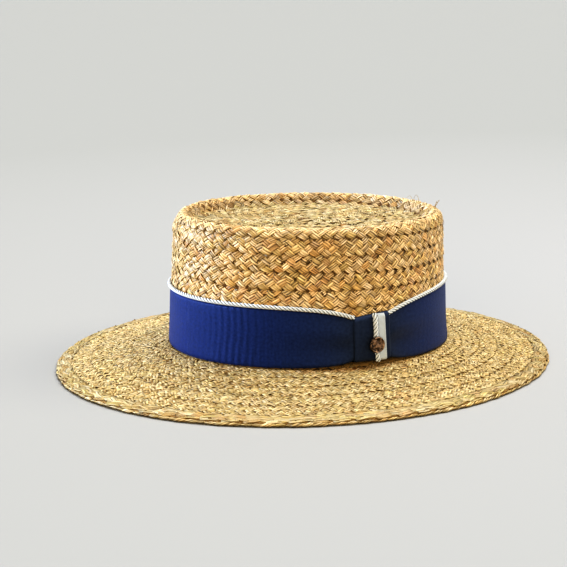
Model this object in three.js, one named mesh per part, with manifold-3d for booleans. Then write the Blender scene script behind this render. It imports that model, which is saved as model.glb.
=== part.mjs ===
// Straw boater hat: a sewn straw crown with a sunk tip, a gently falling oval brim with a doubled
// edge, and a navy ribbon band with twisted cord trim, an upright wrap and a small round pin.
//
// Millimetres. +Z is up and z = 0 is the plane that the brim's edge rests on. -Y is the front of
// the hat, +X the wearer's left. The origin is the middle of the brim's outline.
//
// Every piece is first drawn in the coordinates of the head oval - a radius, measured across the
// hat; an angle from the front towards the wearer's left; and a height - and ovalPoint() turns
// those into the hat's real shape.
import * as THREE from 'three';
import { mergeVertices } from 'three/addons/utils/BufferGeometryUtils.js';
import Module from 'manifold-3d';

const wasm = await Module();
wasm.setup();

// ---------------------------------------------------------------- driving dimensions

const GAP = 0.3;                    // clearance between neighbouring pieces

const HEAD_HALF_WIDTH = 83.6;         // outside of the straw at the foot of the crown, across
const HEAD_HALF_LENGTH = 99.6;      // the same, front to back
const CROWN_SETBACK = 2.6;          // how far the crown sits behind the middle of the brim
const CROWN_TILT = 0.0236;          // rise of the crown towards the front, mm per mm

const STRAW = 2.2;                  // thickness of the sewn braid
const LIP_HEIGHT = 102.2;           // top of the turned lip
const SHOULDER_DROP = 9;            // height over which the side rounds into the lip
const SHOULDER_RADIUS = 81.2;       // half width at the foot of that rounding
const SHOULDER_SOFTNESS = 2.2;      // how far its corner is worn in, where it is roundest
const SOFTEST_ANGLE = -40;          // degrees from the front; the opposite side is crisp
const LIP_CREST_RADIUS = 75.6;      // half width at the top of the lip
const LIP_INNER_RADIUS = 72.2;      // where the lip turns down to the tip
const TIP_DEPTH = 6.8;              // how far the tip is sunk below the lip
const TIP_RADIUS = 66;              // half width of the flat tip
const CROWN_FOOT = 18.3;            // lower edge of the crown, on the brim's upstand

const BRIM_WIDTH = 71.7;            // from the foot of the crown to the edge, across
const BRIM_EXTRA_LENGTH = 2.5;      // the brim is this much wider at the front and back
const BRIM_FALL = 0.1395;           // fall of the brim, mm per mm outwards
const EDGE_THICKNESS = 3.6;         // two rows of braid lie on each other at the edge
const EDGE_ROW_WIDTH = 12;          // width of the doubled row
const EDGE_FLAT_WIDTH = 4.5;        // outermost part of it, flattened where it rests
const UPSTAND_HEIGHT = 18;          // top of the brim's upstand inside the ribbon

const RIBBON = 1;                   // thickness of the ribbon
const BAND_BOTTOM = 14.1;           // lower edge of the band
const BAND_TOP = 51.7;              // upper edge of the band at the front
const BAND_BACK_RISE = 3;           // the upper edge is this much higher at the back
const GATHER_DROP = 9;              // how far the upper edge drops beside the wrap
const GATHER_RISE = 3.6;            // how far the lower edge rises there
const GATHER_REACH_TOP = 13.5;      // degrees in which the drop fades to about a third
const GATHER_REACH_BOTTOM = 6.5;    // the same for the rise

const WRAP_FRONT = 72.8;            // the wrap's edges, degrees round from the front
const WRAP_BACK = 88.4;
const WRAP_BOTTOM = 16.7;
const WRAP_TOP = 47.4;
const WRAP_BULGE = 0.7;             // how much the middle of the wrap stands out

const CORD_RADIUS = 1.3;            // trim cord on the band
const CORD_LIFT = 2;                // its middle above the ribbon's edge
const WRAP_CORD_RADIUS = 1.3;       // trim cord on the wrap
const WRAP_CORD_TOP_ANGLE = 80.8;   // it leans a little from top to bottom
const WRAP_CORD_BOTTOM_ANGLE = 82.2;
const WRAP_CORD_BOW = 0.5;          // degrees it bends aside to clear the pin's shank
const FLANGE_FRONT = 82.9;          // the woven tape beside it
const FLANGE_BACK = 86.2;
const FLANGE = 0.5;                 // its thickness

const PIN_RADIUS = 5.4;
const PIN_THICKNESS = 1.7;
const PIN_RIM = 0.9;                // width of its raised rim
const PIN_ANGLE = 81.1;
const PIN_HEIGHT = 27.6;
const SHANK_RADIUS = 0.7;           // the pin's hidden shank
const SHANK_OFFSET = 3.35;          // how far off the pin's centre it stands, towards the tape

const AROUND = 72;                  // facets round the hat

// ---------------------------------------------------------------- shared geometry

const EDGE_RADIUS = HEAD_HALF_WIDTH + BRIM_WIDTH;
const TIP_HEIGHT = LIP_HEIGHT - TIP_DEPTH;
const WRAP_MIDDLE = (WRAP_FRONT + WRAP_BACK) / 2;

/** Radius, angle (radians from the front) and height on the head oval, as a point of the hat. */
function ovalPoint(radius, angle, height) {
  const outwards = (radius - HEAD_HALF_WIDTH) / (BRIM_WIDTH - EDGE_ROW_WIDTH);
  const crownShare = 1 - THREE.MathUtils.clamp(outwards, 0, 1);
  const headExtra = HEAD_HALF_LENGTH - HEAD_HALF_WIDTH;
  const extra = headExtra * Math.min(radius / HEAD_HALF_WIDTH, 1);
  const forward = (radius + extra + BRIM_EXTRA_LENGTH * (1 - crownShare)) * Math.cos(angle);
  return new THREE.Vector3(
    radius * Math.sin(angle),
    CROWN_SETBACK * crownShare - forward,
    height + CROWN_TILT * forward * crownShare,
  );
}

/** Half width of the outside of the crown's side wall at a height. */
function sideRadius(height) {
  const share = (height - BAND_BOTTOM) / (LIP_HEIGHT - SHOULDER_DROP - BAND_BOTTOM);
  return THREE.MathUtils.lerp(HEAD_HALF_WIDTH, SHOULDER_RADIUS, THREE.MathUtils.clamp(share, 0, 1));
}

/** A point standing off the crown's side wall; the angle is in degrees from the front. */
function pointOnSide(standOff, degrees, height) {
  return ovalPoint(sideRadius(height) + standOff, THREE.MathUtils.degToRad(degrees), height);
}

/** Six times the volume that a list of triangles encloses, positive if they face outwards. */
function enclosedVolume(position, index) {
  const corner = [0, 1, 2].map(() => new THREE.Vector3());
  let volume = 0;
  for (let i = 0; i < index.length; i += 3) {
    corner.forEach((point, k) => point.fromBufferAttribute(position, index[i + k]));
    volume += corner[0].dot(corner[1].cross(corner[2]));
  }
  return volume;
}

/** Welds a closed surface into one body whose faces point outwards. */
function closedBody(geometry) {
  geometry.deleteAttribute('normal');
  geometry.deleteAttribute('uv');
  const welded = mergeVertices(geometry, 1e-4);
  const faces = [];
  for (let i = 0; i < welded.index.count; i += 3) {
    const [a, b, c] = [0, 1, 2].map((k) => welded.index.getX(i + k));
    if (a !== b && b !== c && c !== a) faces.push(a, b, c);
  }
  const inward = enclosedVolume(welded.attributes.position, faces) < 0;
  welded.setIndex(inward ? faces.reverse() : faces);
  welded.computeVertexNormals();
  return welded;
}

/** A closed geometry as a solid that can be joined to another. */
function solidOf(geometry) {
  const body = closedBody(geometry);
  const triVerts = Uint32Array.from(body.index.array);
  const vertProperties = Float32Array.from(body.attributes.position.array);
  return new wasm.Manifold(new wasm.Mesh({ numProp: 3, vertProperties, triVerts }));
}

/** A joined solid as a geometry. */
function geometryOf(solid) {
  const mesh = solid.getMesh();
  const geometry = new THREE.BufferGeometry();
  geometry.setAttribute('position', new THREE.BufferAttribute(mesh.vertProperties, 3));
  geometry.setIndex(new THREE.BufferAttribute(mesh.triVerts, 1));
  geometry.computeVertexNormals();
  return geometry;
}

/** Moves every vertex of a geometry through a function of its place. */
function reshape(geometry, place) {
  const position = geometry.attributes.position;
  const vertex = new THREE.Vector3();
  for (let i = 0; i < position.count; i += 1) {
    vertex.fromBufferAttribute(position, i);
    const moved = place(vertex);
    position.setXYZ(i, moved.x, moved.y, moved.z);
  }
  return closedBody(geometry);
}

/** Turns a profile of (radius, height) points round the hat; place() gives each point's position. */
function turnRound(profile, place = ovalPoint) {
  const lathe = new THREE.LatheGeometry(profile, AROUND);
  return reshape(lathe, (v) => place(Math.hypot(v.x, v.z), Math.atan2(v.x, v.z), v.y));
}

/** A strip that lies on the crown's side between two angles, with its own bottom and top edges. */
function stripOnSide({ from, to, bottom, top, standOff, thickness, bulge = 0 }) {
  const box = new THREE.BoxGeometry(1, 1, 1, Math.ceil((to - from) / 2), 4, 1);
  return reshape(box, (v) => {
    const degrees = THREE.MathUtils.lerp(to, from, v.x + 0.5);
    const height = THREE.MathUtils.lerp(bottom(degrees), top(degrees), v.y + 0.5);
    const swell = bulge * Math.cos(Math.PI * v.x) * Math.cos(Math.PI * v.y);
    return pointOnSide(standOff + swell + thickness * (v.z + 0.5), degrees, height);
  });
}

/** A round cord, eight-sided, along a row of points. */
function cordThrough(points, radius, steps) {
  const section = new THREE.Shape();
  section.absarc(0, 0, radius, 0, 2 * Math.PI, false);
  const extrudePath = new THREE.CatmullRomCurve3(points);
  const options = { steps, curveSegments: 4, extrudePath };
  return closedBody(new THREE.ExtrudeGeometry(section, options));
}

// ---------------------------------------------------------------- straw

/** A point of the crown, whose shoulder is rounder on one side than on the other. */
function crownPoint(radius, angle, height) {
  const across = (radius - LIP_CREST_RADIUS) / (SHOULDER_RADIUS - LIP_CREST_RADIUS);
  const up = (height - LIP_HEIGHT) / SHOULDER_DROP + 1;
  const corner = THREE.MathUtils.clamp(across, 0, 1) * THREE.MathUtils.clamp(up, 0, 1);
  const turn = angle - THREE.MathUtils.degToRad(SOFTEST_ANGLE);
  const worn = SHOULDER_SOFTNESS * corner * (1 + Math.cos(turn)) / 2;
  return ovalPoint(radius - worn, angle, height - worn);
}

/** The crown: sunk tip, slope up to the lip, lip, shoulder and side wall, as one thin shell. */
function crownGeometry() {
  const wallFoot = sideRadius(CROWN_FOOT);
  const shoulderFoot = LIP_HEIGHT - SHOULDER_DROP;
  const slopeTop = LIP_HEIGHT - 2;
  const outline = new THREE.Path();
  outline.moveTo(0, TIP_HEIGHT);
  outline.lineTo(TIP_RADIUS / 2, TIP_HEIGHT);
  outline.lineTo(TIP_RADIUS, TIP_HEIGHT);
  outline.quadraticCurveTo(TIP_RADIUS + 3, TIP_HEIGHT, TIP_RADIUS + 4, TIP_HEIGHT + 2);
  outline.lineTo(LIP_INNER_RADIUS, slopeTop);
  outline.quadraticCurveTo(LIP_INNER_RADIUS + 1, LIP_HEIGHT, LIP_CREST_RADIUS, LIP_HEIGHT);
  outline.quadraticCurveTo(SHOULDER_RADIUS, LIP_HEIGHT, SHOULDER_RADIUS, shoulderFoot);
  outline.lineTo(sideRadius(60), 60);
  outline.lineTo(wallFoot, CROWN_FOOT);
  outline.lineTo(wallFoot - STRAW, CROWN_FOOT);
  outline.lineTo(sideRadius(60) - STRAW, 60);
  outline.lineTo(SHOULDER_RADIUS - STRAW, shoulderFoot);
  outline.quadraticCurveTo(SHOULDER_RADIUS - STRAW, LIP_HEIGHT - STRAW,
    LIP_CREST_RADIUS + 0.3, LIP_HEIGHT - STRAW);
  outline.lineTo(LIP_INNER_RADIUS + STRAW, slopeTop - STRAW / 2);
  outline.lineTo(TIP_RADIUS + 4 + STRAW, TIP_HEIGHT + 2 - STRAW);
  outline.quadraticCurveTo(TIP_RADIUS + 5, TIP_HEIGHT - STRAW, TIP_RADIUS, TIP_HEIGHT - STRAW);
  outline.lineTo(TIP_RADIUS / 2, TIP_HEIGHT - STRAW);
  outline.lineTo(0, TIP_HEIGHT - STRAW);
  return turnRound(outline.getPoints(4), crownPoint);
}

/** The brim: an upstand at the head line, the falling sheet, and the doubled row at its edge. */
function brimGeometry() {
  const topAt = (radius) => EDGE_THICKNESS + (EDGE_RADIUS - radius) * BRIM_FALL;
  const upstandInside = sideRadius(UPSTAND_HEIGHT) - STRAW;
  const rootRadius = HEAD_HALF_WIDTH + 2;
  const rowInside = EDGE_RADIUS - EDGE_ROW_WIDTH;
  const flatInside = EDGE_RADIUS - EDGE_FLAT_WIDTH;
  const outline = new THREE.Path();
  outline.moveTo(upstandInside, UPSTAND_HEIGHT);
  outline.lineTo(sideRadius(UPSTAND_HEIGHT), UPSTAND_HEIGHT);
  outline.lineTo(HEAD_HALF_WIDTH, topAt(HEAD_HALF_WIDTH));
  outline.lineTo(rootRadius, topAt(rootRadius));
  outline.lineTo(rowInside, topAt(rowInside));
  outline.lineTo(EDGE_RADIUS - 1.4, topAt(EDGE_RADIUS - 1.4));
  outline.quadraticCurveTo(EDGE_RADIUS, EDGE_THICKNESS, EDGE_RADIUS, EDGE_THICKNESS / 2);
  outline.quadraticCurveTo(EDGE_RADIUS, 0, EDGE_RADIUS - 1, 0);
  outline.lineTo(flatInside, 0);
  outline.lineTo(rowInside, (EDGE_ROW_WIDTH - EDGE_FLAT_WIDTH) * BRIM_FALL);
  outline.lineTo(rowInside, topAt(rowInside) - STRAW);
  outline.lineTo(rootRadius, topAt(rootRadius) - STRAW);
  outline.quadraticCurveTo(upstandInside, topAt(rootRadius) - STRAW, upstandInside, BAND_BOTTOM);
  outline.closePath();
  return turnRound(outline.getPoints(3));
}

// ---------------------------------------------------------------- band

/** Degrees from the front, counted from 0 to 360. */
function degreesOf(angle) {
  return (THREE.MathUtils.radToDeg(angle) + 360) % 360;
}

/** How strongly the wrap gathers the band at an angle: 1 beside the wrap, fading to 0. */
function gather(degrees, reach) {
  const beyond = degrees < WRAP_MIDDLE ? WRAP_FRONT - degrees : degrees - WRAP_BACK;
  return Math.exp(-Math.max(beyond, 0) / reach);
}

/** Height of the band's upper edge at an angle in degrees. */
function bandTop(degrees) {
  const backShare = (1 - Math.cos(THREE.MathUtils.degToRad(degrees))) / 2;
  return BAND_TOP + BAND_BACK_RISE * backShare - GATHER_DROP * gather(degrees, GATHER_REACH_TOP);
}

/** Height of the band's lower edge at an angle in degrees. */
function bandBottom(degrees) {
  return BAND_BOTTOM + GATHER_RISE * gather(degrees, GATHER_REACH_BOTTOM);
}

/** The ribbon: a thin ring whose edges close in towards the wrap. */
function bandGeometry() {
  const shares = [0, 0.5, 1];
  const outside = shares.map((share) => new THREE.Vector2(GAP + RIBBON, share));
  const inside = shares.map((share) => new THREE.Vector2(GAP, share)).reverse();
  const profile = [...outside, ...inside, outside[0].clone()];
  profile.forEach((point) => point.setX(point.x + HEAD_HALF_WIDTH));
  return turnRound(profile, (radius, angle, share) => {
    const degrees = degreesOf(angle);
    const height = THREE.MathUtils.lerp(bandBottom(degrees), bandTop(degrees), share);
    return ovalPoint(sideRadius(height) + radius - HEAD_HALF_WIDTH, angle, height);
  });
}

/** The cord on the band's upper edge, from behind the wrap round the back to its front side. */
function bandCordGeometry() {
  const wrapMargin = 0.9;
  const from = WRAP_BACK + wrapMargin;
  const to = WRAP_FRONT + 360 - wrapMargin;
  const steps = AROUND;
  const points = [];
  for (let i = 0; i <= steps; i += 1) {
    const degrees = THREE.MathUtils.lerp(from, to, i / steps);
    const height = bandTop(degrees % 360) + CORD_LIFT;
    points.push(pointOnSide(GAP + CORD_RADIUS, degrees, height));
  }
  return cordThrough(points, CORD_RADIUS, steps);
}

const WRAP_STAND_OFF = 2 * GAP + RIBBON;
const ON_WRAP = WRAP_STAND_OFF + RIBBON + WRAP_BULGE + GAP;

/** The upright loop of ribbon that closes the band. */
function wrapGeometry() {
  return stripOnSide({
    from: WRAP_FRONT,
    to: WRAP_BACK,
    bottom: () => WRAP_BOTTOM,
    top: () => WRAP_TOP,
    standOff: WRAP_STAND_OFF,
    thickness: RIBBON,
    bulge: WRAP_BULGE,
  });
}

/** The woven tape beside the wrap's cord. */
function flangeGeometry() {
  return stripOnSide({
    from: FLANGE_FRONT,
    to: FLANGE_BACK,
    bottom: () => WRAP_BOTTOM,
    top: () => WRAP_TOP,
    standOff: ON_WRAP,
    thickness: FLANGE,
  });
}

/** The cord down the wrap, bowed a little round the pin's shank. */
function wrapCordGeometry() {
  const steps = 10;
  const points = [];
  for (let i = 0; i <= steps; i += 1) {
    const height = THREE.MathUtils.lerp(WRAP_BOTTOM, WRAP_TOP, i / steps);
    const lean = THREE.MathUtils.lerp(WRAP_CORD_BOTTOM_ANGLE, WRAP_CORD_TOP_ANGLE, i / steps);
    const bow = WRAP_CORD_BOW * Math.exp(-(((height - PIN_HEIGHT) / PIN_RADIUS) ** 2));
    points.push(pointOnSide(ON_WRAP + WRAP_CORD_RADIUS, lean - bow, height));
  }
  return cordThrough(points, WRAP_CORD_RADIUS, steps);
}

/** The pin's disc, with a raised rim, facing +Y. */
function pinDiscGeometry() {
  const fieldHeight = PIN_THICKNESS * 0.6;
  const outline = new THREE.Path();
  outline.moveTo(0, 0);
  outline.lineTo(PIN_RADIUS - 0.3, 0);
  outline.quadraticCurveTo(PIN_RADIUS, PIN_THICKNESS, PIN_RADIUS - PIN_RIM / 2, PIN_THICKNESS);
  outline.lineTo(PIN_RADIUS - PIN_RIM, fieldHeight);
  outline.lineTo(0, fieldHeight + 0.3);
  return new THREE.LatheGeometry(outline.getPoints(3), 28);
}

/** The pin: the disc and, joined to its back, the shank that reaches the tape. */
function pinGeometry() {
  const reach = 2 * WRAP_CORD_RADIUS - FLANGE;
  const bite = PIN_THICKNESS / 2;
  const shank = new THREE.CylinderGeometry(SHANK_RADIUS, SHANK_RADIUS, reach + bite, 12);
  shank.translate(-SHANK_OFFSET, (bite - reach) / 2, 0);
  return geometryOf(solidOf(pinDiscGeometry()).add(solidOf(shank)));
}

/** Puts a mesh made along +Y on the crown's side, facing straight out. */
function mountOnSide(mesh, standOff, degrees, height) {
  const place = pointOnSide(standOff, degrees, height);
  const ahead = pointOnSide(standOff, degrees + 1, height);
  const behind = pointOnSide(standOff, degrees - 1, height);
  const outward = ahead.sub(behind).cross(new THREE.Vector3(0, 0, 1)).normalize();
  mesh.position.copy(place);
  mesh.quaternion.setFromUnitVectors(new THREE.Vector3(0, 1, 0), outward);
}

// ---------------------------------------------------------------- the hat

const strawMaterial = new THREE.MeshStandardMaterial({ color: '#d1ab76', roughness: 0.85 });
const ribbonMaterial = new THREE.MeshStandardMaterial({ color: '#1f2a5c', roughness: 0.8 });
const cordMaterial = new THREE.MeshStandardMaterial({ color: '#dcdcdf', roughness: 0.7 });
const pinMaterial = new THREE.MeshStandardMaterial({
  color: '#6e5244', roughness: 0.45, metalness: 0.9,
});

const hat = new THREE.Group();

function add(name, geometry, material) {
  const mesh = new THREE.Mesh(geometry, material);
  mesh.name = name;
  hat.add(mesh);
  return mesh;
}

add('crown', crownGeometry(), strawMaterial);
add('brim', brimGeometry(), strawMaterial.clone());
add('hat_band', bandGeometry(), ribbonMaterial);
add('band_cord', bandCordGeometry(), cordMaterial);
add('band_wrap', wrapGeometry(), ribbonMaterial.clone());
add('wrap_flange', flangeGeometry(), cordMaterial.clone());
add('wrap_cord', wrapCordGeometry(), cordMaterial.clone());
const pin = add('pin', pinGeometry(), pinMaterial);
mountOnSide(pin, ON_WRAP + 2 * WRAP_CORD_RADIUS + GAP, PIN_ANGLE, PIN_HEIGHT);

export default hat;
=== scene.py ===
"""Looks of a straw boater: plaited straw in every row, navy ribbon, twisted cord and a small pin.

All shapes are worked out in millimetres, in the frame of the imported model: +Z up, the floor at
z = 0, -Y the front of the hat and +X the wearer's left, where the wrap and pin are. Angles round
the hat start at the front and grow towards the wearer's left.
"""
import math

import bmesh
import bpy
import numpy as np
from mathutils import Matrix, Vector


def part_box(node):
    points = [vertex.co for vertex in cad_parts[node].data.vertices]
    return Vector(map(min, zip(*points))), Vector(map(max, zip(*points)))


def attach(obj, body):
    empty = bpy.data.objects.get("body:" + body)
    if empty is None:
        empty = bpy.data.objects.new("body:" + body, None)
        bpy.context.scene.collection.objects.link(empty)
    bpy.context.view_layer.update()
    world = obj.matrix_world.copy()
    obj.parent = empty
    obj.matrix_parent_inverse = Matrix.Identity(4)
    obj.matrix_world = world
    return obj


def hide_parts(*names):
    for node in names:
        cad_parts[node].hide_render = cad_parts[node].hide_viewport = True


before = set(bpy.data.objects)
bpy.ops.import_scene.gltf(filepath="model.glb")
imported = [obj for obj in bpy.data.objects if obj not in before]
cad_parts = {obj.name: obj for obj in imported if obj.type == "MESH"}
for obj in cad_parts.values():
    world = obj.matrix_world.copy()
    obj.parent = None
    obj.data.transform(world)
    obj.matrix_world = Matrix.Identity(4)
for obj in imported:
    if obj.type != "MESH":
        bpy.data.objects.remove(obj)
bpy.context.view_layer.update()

MM = 0.001
TURN = 2 * math.pi


def cad_box(node_name):
    """Lowest and highest corner of a CAD node, in millimetres."""
    low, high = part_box(node_name)
    return np.array(low) / MM, np.array(high) / MM


# ------------------------ sizes, millimetres

EDGE_RADIUS = cad_box("brim")[1][0]
BRIM_WIDTH = 71.7
HEAD_HALF_WIDTH = EDGE_RADIUS - BRIM_WIDTH
HEAD_HALF_LENGTH = HEAD_HALF_WIDTH + 16
CROWN_SETBACK = 2.6          # how far the crown sits behind the middle of the brim
CROWN_TILT = 0.0236          # rise of the crown towards the front, mm per mm
BRIM_EXTRA_LENGTH = 2.5      # the brim is this much wider at the front and back
BRIM_FALL = 0.1395           # fall of the brim, mm per mm outwards
EDGE_THICKNESS = 3.6
EDGE_ROW_WIDTH = 12

STRAW = 2.2                  # thickness of the sewn braid
LIP_HEIGHT = 102.2
SHOULDER_DROP = 9            # height over which the side rounds into the lip
SHOULDER_FOOT = LIP_HEIGHT - SHOULDER_DROP
SHOULDER_RADIUS = 81.2
SHOULDER_SOFTNESS = 2.2      # how far the shoulder is worn in, where it is roundest
SOFTEST_ANGLE = math.radians(-40)
LIP_CREST_RADIUS = 75.6
LIP_INNER_RADIUS = 72.2
TIP_HEIGHT = LIP_HEIGHT - 6.8
TIP_RADIUS = 66
PAST_CENTRE = 10             # outlines of the tip start this far beyond its middle
TIP_EDGE = PAST_CENTRE + TIP_RADIUS
CROWN_FOOT = 18.3
UPSTAND_HEIGHT = 18

GAP = 0.3                    # between neighbouring pieces of the trim
RIBBON = 1.0                 # thickness of a layer of ribbon
BAND_BOTTOM = 14.1
BAND_TOP = 51.7
BAND_BACK_RISE = 3           # the band's upper edge is this much higher at the back
GATHER_DROP = 9              # how far that edge drops beside the wrap
GATHER_RISE = 3.6            # how far the lower edge rises there
GATHER_REACH_TOP = 13.5      # degrees in which the drop fades to about a third
GATHER_REACH_BOTTOM = 6.5    # the same for the rise
WRAP_FRONT = 72.8            # the wrap's edges, in degrees
WRAP_BACK = 88.4
WRAP_MIDDLE = (WRAP_FRONT + WRAP_BACK) / 2
WRAP_BOTTOM = 16.7
WRAP_TOP = 47.4
WRAP_BULGE = 0.7             # how far the middle of the wrap stands out
ON_WRAP = 3 * GAP + 2 * RIBBON + WRAP_BULGE   # stand-off of what lies on the wrap
RIBBON_FACE = 0.8            # the band's outer face off the crown
RIBBON_SHOWN = 0.6           # thickness of the band between its two faces
RIBS_SCALE = 0.36            # how close the ribs of the ribbon are
MM_PER_DEGREE = math.pi / 180 * (HEAD_HALF_WIDTH + 8)   # along the ribbon
TOP_TURN = 3                 # height over which the wrap turns in at its top
FOOT_TURN = 1.6              # the same at its foot
FLANGE_FRONT = 82.9          # the tape's edges, in degrees
FLANGE_BACK = 86.2
FLANGE = 0.5                 # thickness of the tape
CORD_RADIUS = 1.3
CORD_LIFT = 1.6              # middle of the band's cord above the ribbon's edge
CORD_STAND_OFF = 0.95        # the same cord off the straw, which it is pressed into
WRAP_CORD_TOP_ANGLE = 80.8   # the cord on the wrap leans, in degrees
WRAP_CORD_BOTTOM_ANGLE = 82.2
WRAP_CORD_BOW = 0.5          # degrees it bends aside at the pin
PLIES = 3
LAY_LENGTH = 8.1             # of cord, for one turn of its plies
PIN_ANGLE = 81.1
PIN_RADIUS = 5.4
PIN_HEIGHT = float(np.mean(cad_box("pin"), axis=0)[2])

CAMERA_AZIMUTH = math.radians(51.06)
CAMERA_DISTANCE = 1.0
CAMERA_HEIGHT = 0.26616
CAMERA_AIM = math.radians(52.07)
CAMERA_PITCH = math.radians(12.17)
CAMERA_LENS = 95.5
SENSOR = 36
# Middle of the pool of light that is painted on the floor.
FLOOR_LIGHT_POOL_MIDDLE = (0.0, 0.45, 0.0)   # in metres


# ------------------------ the hat's surfaces

def hump(value, middle, width):
    """A soft hump: 1 at the middle, about a third at one width from it."""
    return np.exp(-(((value - middle) / width) ** 2))


def unit(vectors):
    """The same directions, one long."""
    return vectors / np.linalg.norm(vectors, axis=-1, keepdims=True)


def oval_point(radius, angle, height):
    """Radius, angle from the front (radians) and height on the head oval, as a point of the hat."""
    radius, angle, height = np.broadcast_arrays(radius, angle, height)
    outwards = (radius - HEAD_HALF_WIDTH) / (BRIM_WIDTH - EDGE_ROW_WIDTH)
    crown_share = 1 - np.clip(outwards, 0, 1)
    head_extra = HEAD_HALF_LENGTH - HEAD_HALF_WIDTH
    extra = head_extra * np.minimum(radius / HEAD_HALF_WIDTH, 1)
    forward = (radius + extra + BRIM_EXTRA_LENGTH * (1 - crown_share)) * np.cos(angle)
    x = radius * np.sin(angle)
    y = CROWN_SETBACK * crown_share - forward
    z = height + CROWN_TILT * forward * crown_share
    return np.stack([x, y, z], axis=-1)


def crown_point(radius, angle, height):
    """A point of the crown, whose shoulder is rounder on one side than on the other."""
    across = (radius - LIP_CREST_RADIUS) / (SHOULDER_RADIUS - LIP_CREST_RADIUS)
    up = (height - LIP_HEIGHT) / SHOULDER_DROP + 1
    corner = np.clip(across, 0, 1) * np.clip(up, 0, 1)
    worn = SHOULDER_SOFTNESS * corner * (1 + np.cos(angle - SOFTEST_ANGLE)) / 2
    return oval_point(radius - worn, angle, height - worn)


def side_radius(height):
    """Half width of the outside of the crown's side wall at a height."""
    share = (height - BAND_BOTTOM) / (SHOULDER_FOOT - BAND_BOTTOM)
    return HEAD_HALF_WIDTH + (SHOULDER_RADIUS - HEAD_HALF_WIDTH) * np.clip(share, 0, 1)


def brim_top(radius):
    """Height of the brim's upper face."""
    return EDGE_THICKNESS + (EDGE_RADIUS - radius) * BRIM_FALL


def on_side(stand_off, degrees, height):
    """A point standing off the crown's side wall; degrees count from the front."""
    return oval_point(side_radius(height) + stand_off, np.radians(degrees), height)


def line_on_side(stand_off, degrees, height):
    """Points standing off the side wall, with the way that leads off the hat at each."""
    middle = on_side(stand_off, degrees, height)
    return middle, on_side(stand_off + 1, degrees, height) - middle


class Outline:
    """A line in the plane of radius and height, drawn stroke by stroke."""

    STEPS = 12

    def __init__(self, radius, height):
        self.points = [(radius, height)]

    def line(self, radius, height):
        """Adds a straight stroke to a radius and height."""
        self.points.append((radius, height))
        return self

    def curve(self, control, end):
        """Adds a stroke that leaves towards the control point and bends to the end."""
        start, control, end = (np.array(p, float) for p in (self.points[-1], control, end))
        for t in np.linspace(0, 1, self.STEPS + 1)[1:]:
            point = (1 - t) ** 2 * start + 2 * t * (1 - t) * control + t ** 2 * end
            self.points.append(tuple(point))
        return self


class Skin:
    """A face of the straw: an outline turned round the hat. Its lift is measured straight out."""

    SMOOTHING = 7

    def __init__(self, outline, place=oval_point, step=0.25):
        corners = np.array(outline.points, float)
        run = np.concatenate([[0], np.cumsum(np.hypot(*np.diff(corners, axis=0).T))])
        self.length = run[-1]
        self.along = np.linspace(0, self.length, int(self.length / step) + 2)
        self.radius = np.interp(self.along, run, corners[:, 0])
        self.height = np.interp(self.along, run, corners[:, 1])
        self.place = place
        kernel = np.ones(self.SMOOTHING) / self.SMOOTHING
        outward = np.stack([-np.gradient(self.height), np.gradient(self.radius)])
        padded = np.pad(outward, ((0, 0), (self.SMOOTHING // 2,) * 2), mode="edge")
        smooth = np.stack([np.convolve(row, kernel, "valid") for row in padded])
        self.out_radius, self.out_height = smooth / np.hypot(*smooth)

    def point(self, along, angle, lift):
        """The point at a distance along the outline and an angle, lifted off the face."""
        radius = np.interp(along, self.along, self.radius)
        height = np.interp(along, self.along, self.height)
        out_radius = np.interp(along, self.along, self.out_radius)
        out_height = np.interp(along, self.along, self.out_height)
        return self.place(radius + lift * out_radius, angle, height + lift * out_height)

    def round_tangent(self, along, angle):
        """Change of place for each radian round the hat."""
        step = 1e-3
        ahead, behind = (self.point(along, angle + by, 0) for by in (step, -step))
        return (ahead - behind) / (2 * step)

    def along_at_height(self, height):
        """How far along the outline it first comes down to a height."""
        return self.along[np.argmax(self.height <= height)]


def crown_outside():
    """Tip, slope, lip, shoulder and side wall, from past the tip's centre down to the foot."""
    outline = Outline(-PAST_CENTRE, TIP_HEIGHT).line(TIP_RADIUS, TIP_HEIGHT)
    outline.curve((TIP_RADIUS + 3, TIP_HEIGHT), (TIP_RADIUS + 4, TIP_HEIGHT + 2))
    outline.line(LIP_INNER_RADIUS, LIP_HEIGHT - 2)
    outline.curve((LIP_INNER_RADIUS + 1, LIP_HEIGHT), (LIP_CREST_RADIUS, LIP_HEIGHT))
    outline.curve((SHOULDER_RADIUS, LIP_HEIGHT), (SHOULDER_RADIUS, SHOULDER_FOOT))
    outline.line(side_radius(CROWN_FOOT), CROWN_FOOT)
    return Skin(outline, crown_point)


def crown_inside():
    """The same walls from inside the hollow, from the foot up to past the tip's centre."""
    outline = Outline(side_radius(CROWN_FOOT) - STRAW, CROWN_FOOT)
    outline.line(SHOULDER_RADIUS - STRAW, SHOULDER_FOOT)
    outline.curve((SHOULDER_RADIUS - STRAW, LIP_HEIGHT - STRAW),
                  (LIP_CREST_RADIUS + 0.3, LIP_HEIGHT - STRAW))
    outline.line(LIP_INNER_RADIUS + STRAW, LIP_HEIGHT - 2 - STRAW / 2)
    outline.line(TIP_RADIUS + 4 + STRAW, TIP_HEIGHT + 2 - STRAW)
    outline.curve((TIP_RADIUS + 5, TIP_HEIGHT - STRAW), (TIP_RADIUS, TIP_HEIGHT - STRAW))
    outline.line(-PAST_CENTRE, TIP_HEIGHT - STRAW)
    return Skin(outline, crown_point)


def brim_over():
    """The brim's upper face, from just inside the ribbon's edge out to the turned edge."""
    inside = HEAD_HALF_WIDTH - 1
    return Skin(Outline(inside, brim_top(inside)).line(EDGE_RADIUS, brim_top(EDGE_RADIUS)))


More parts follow.
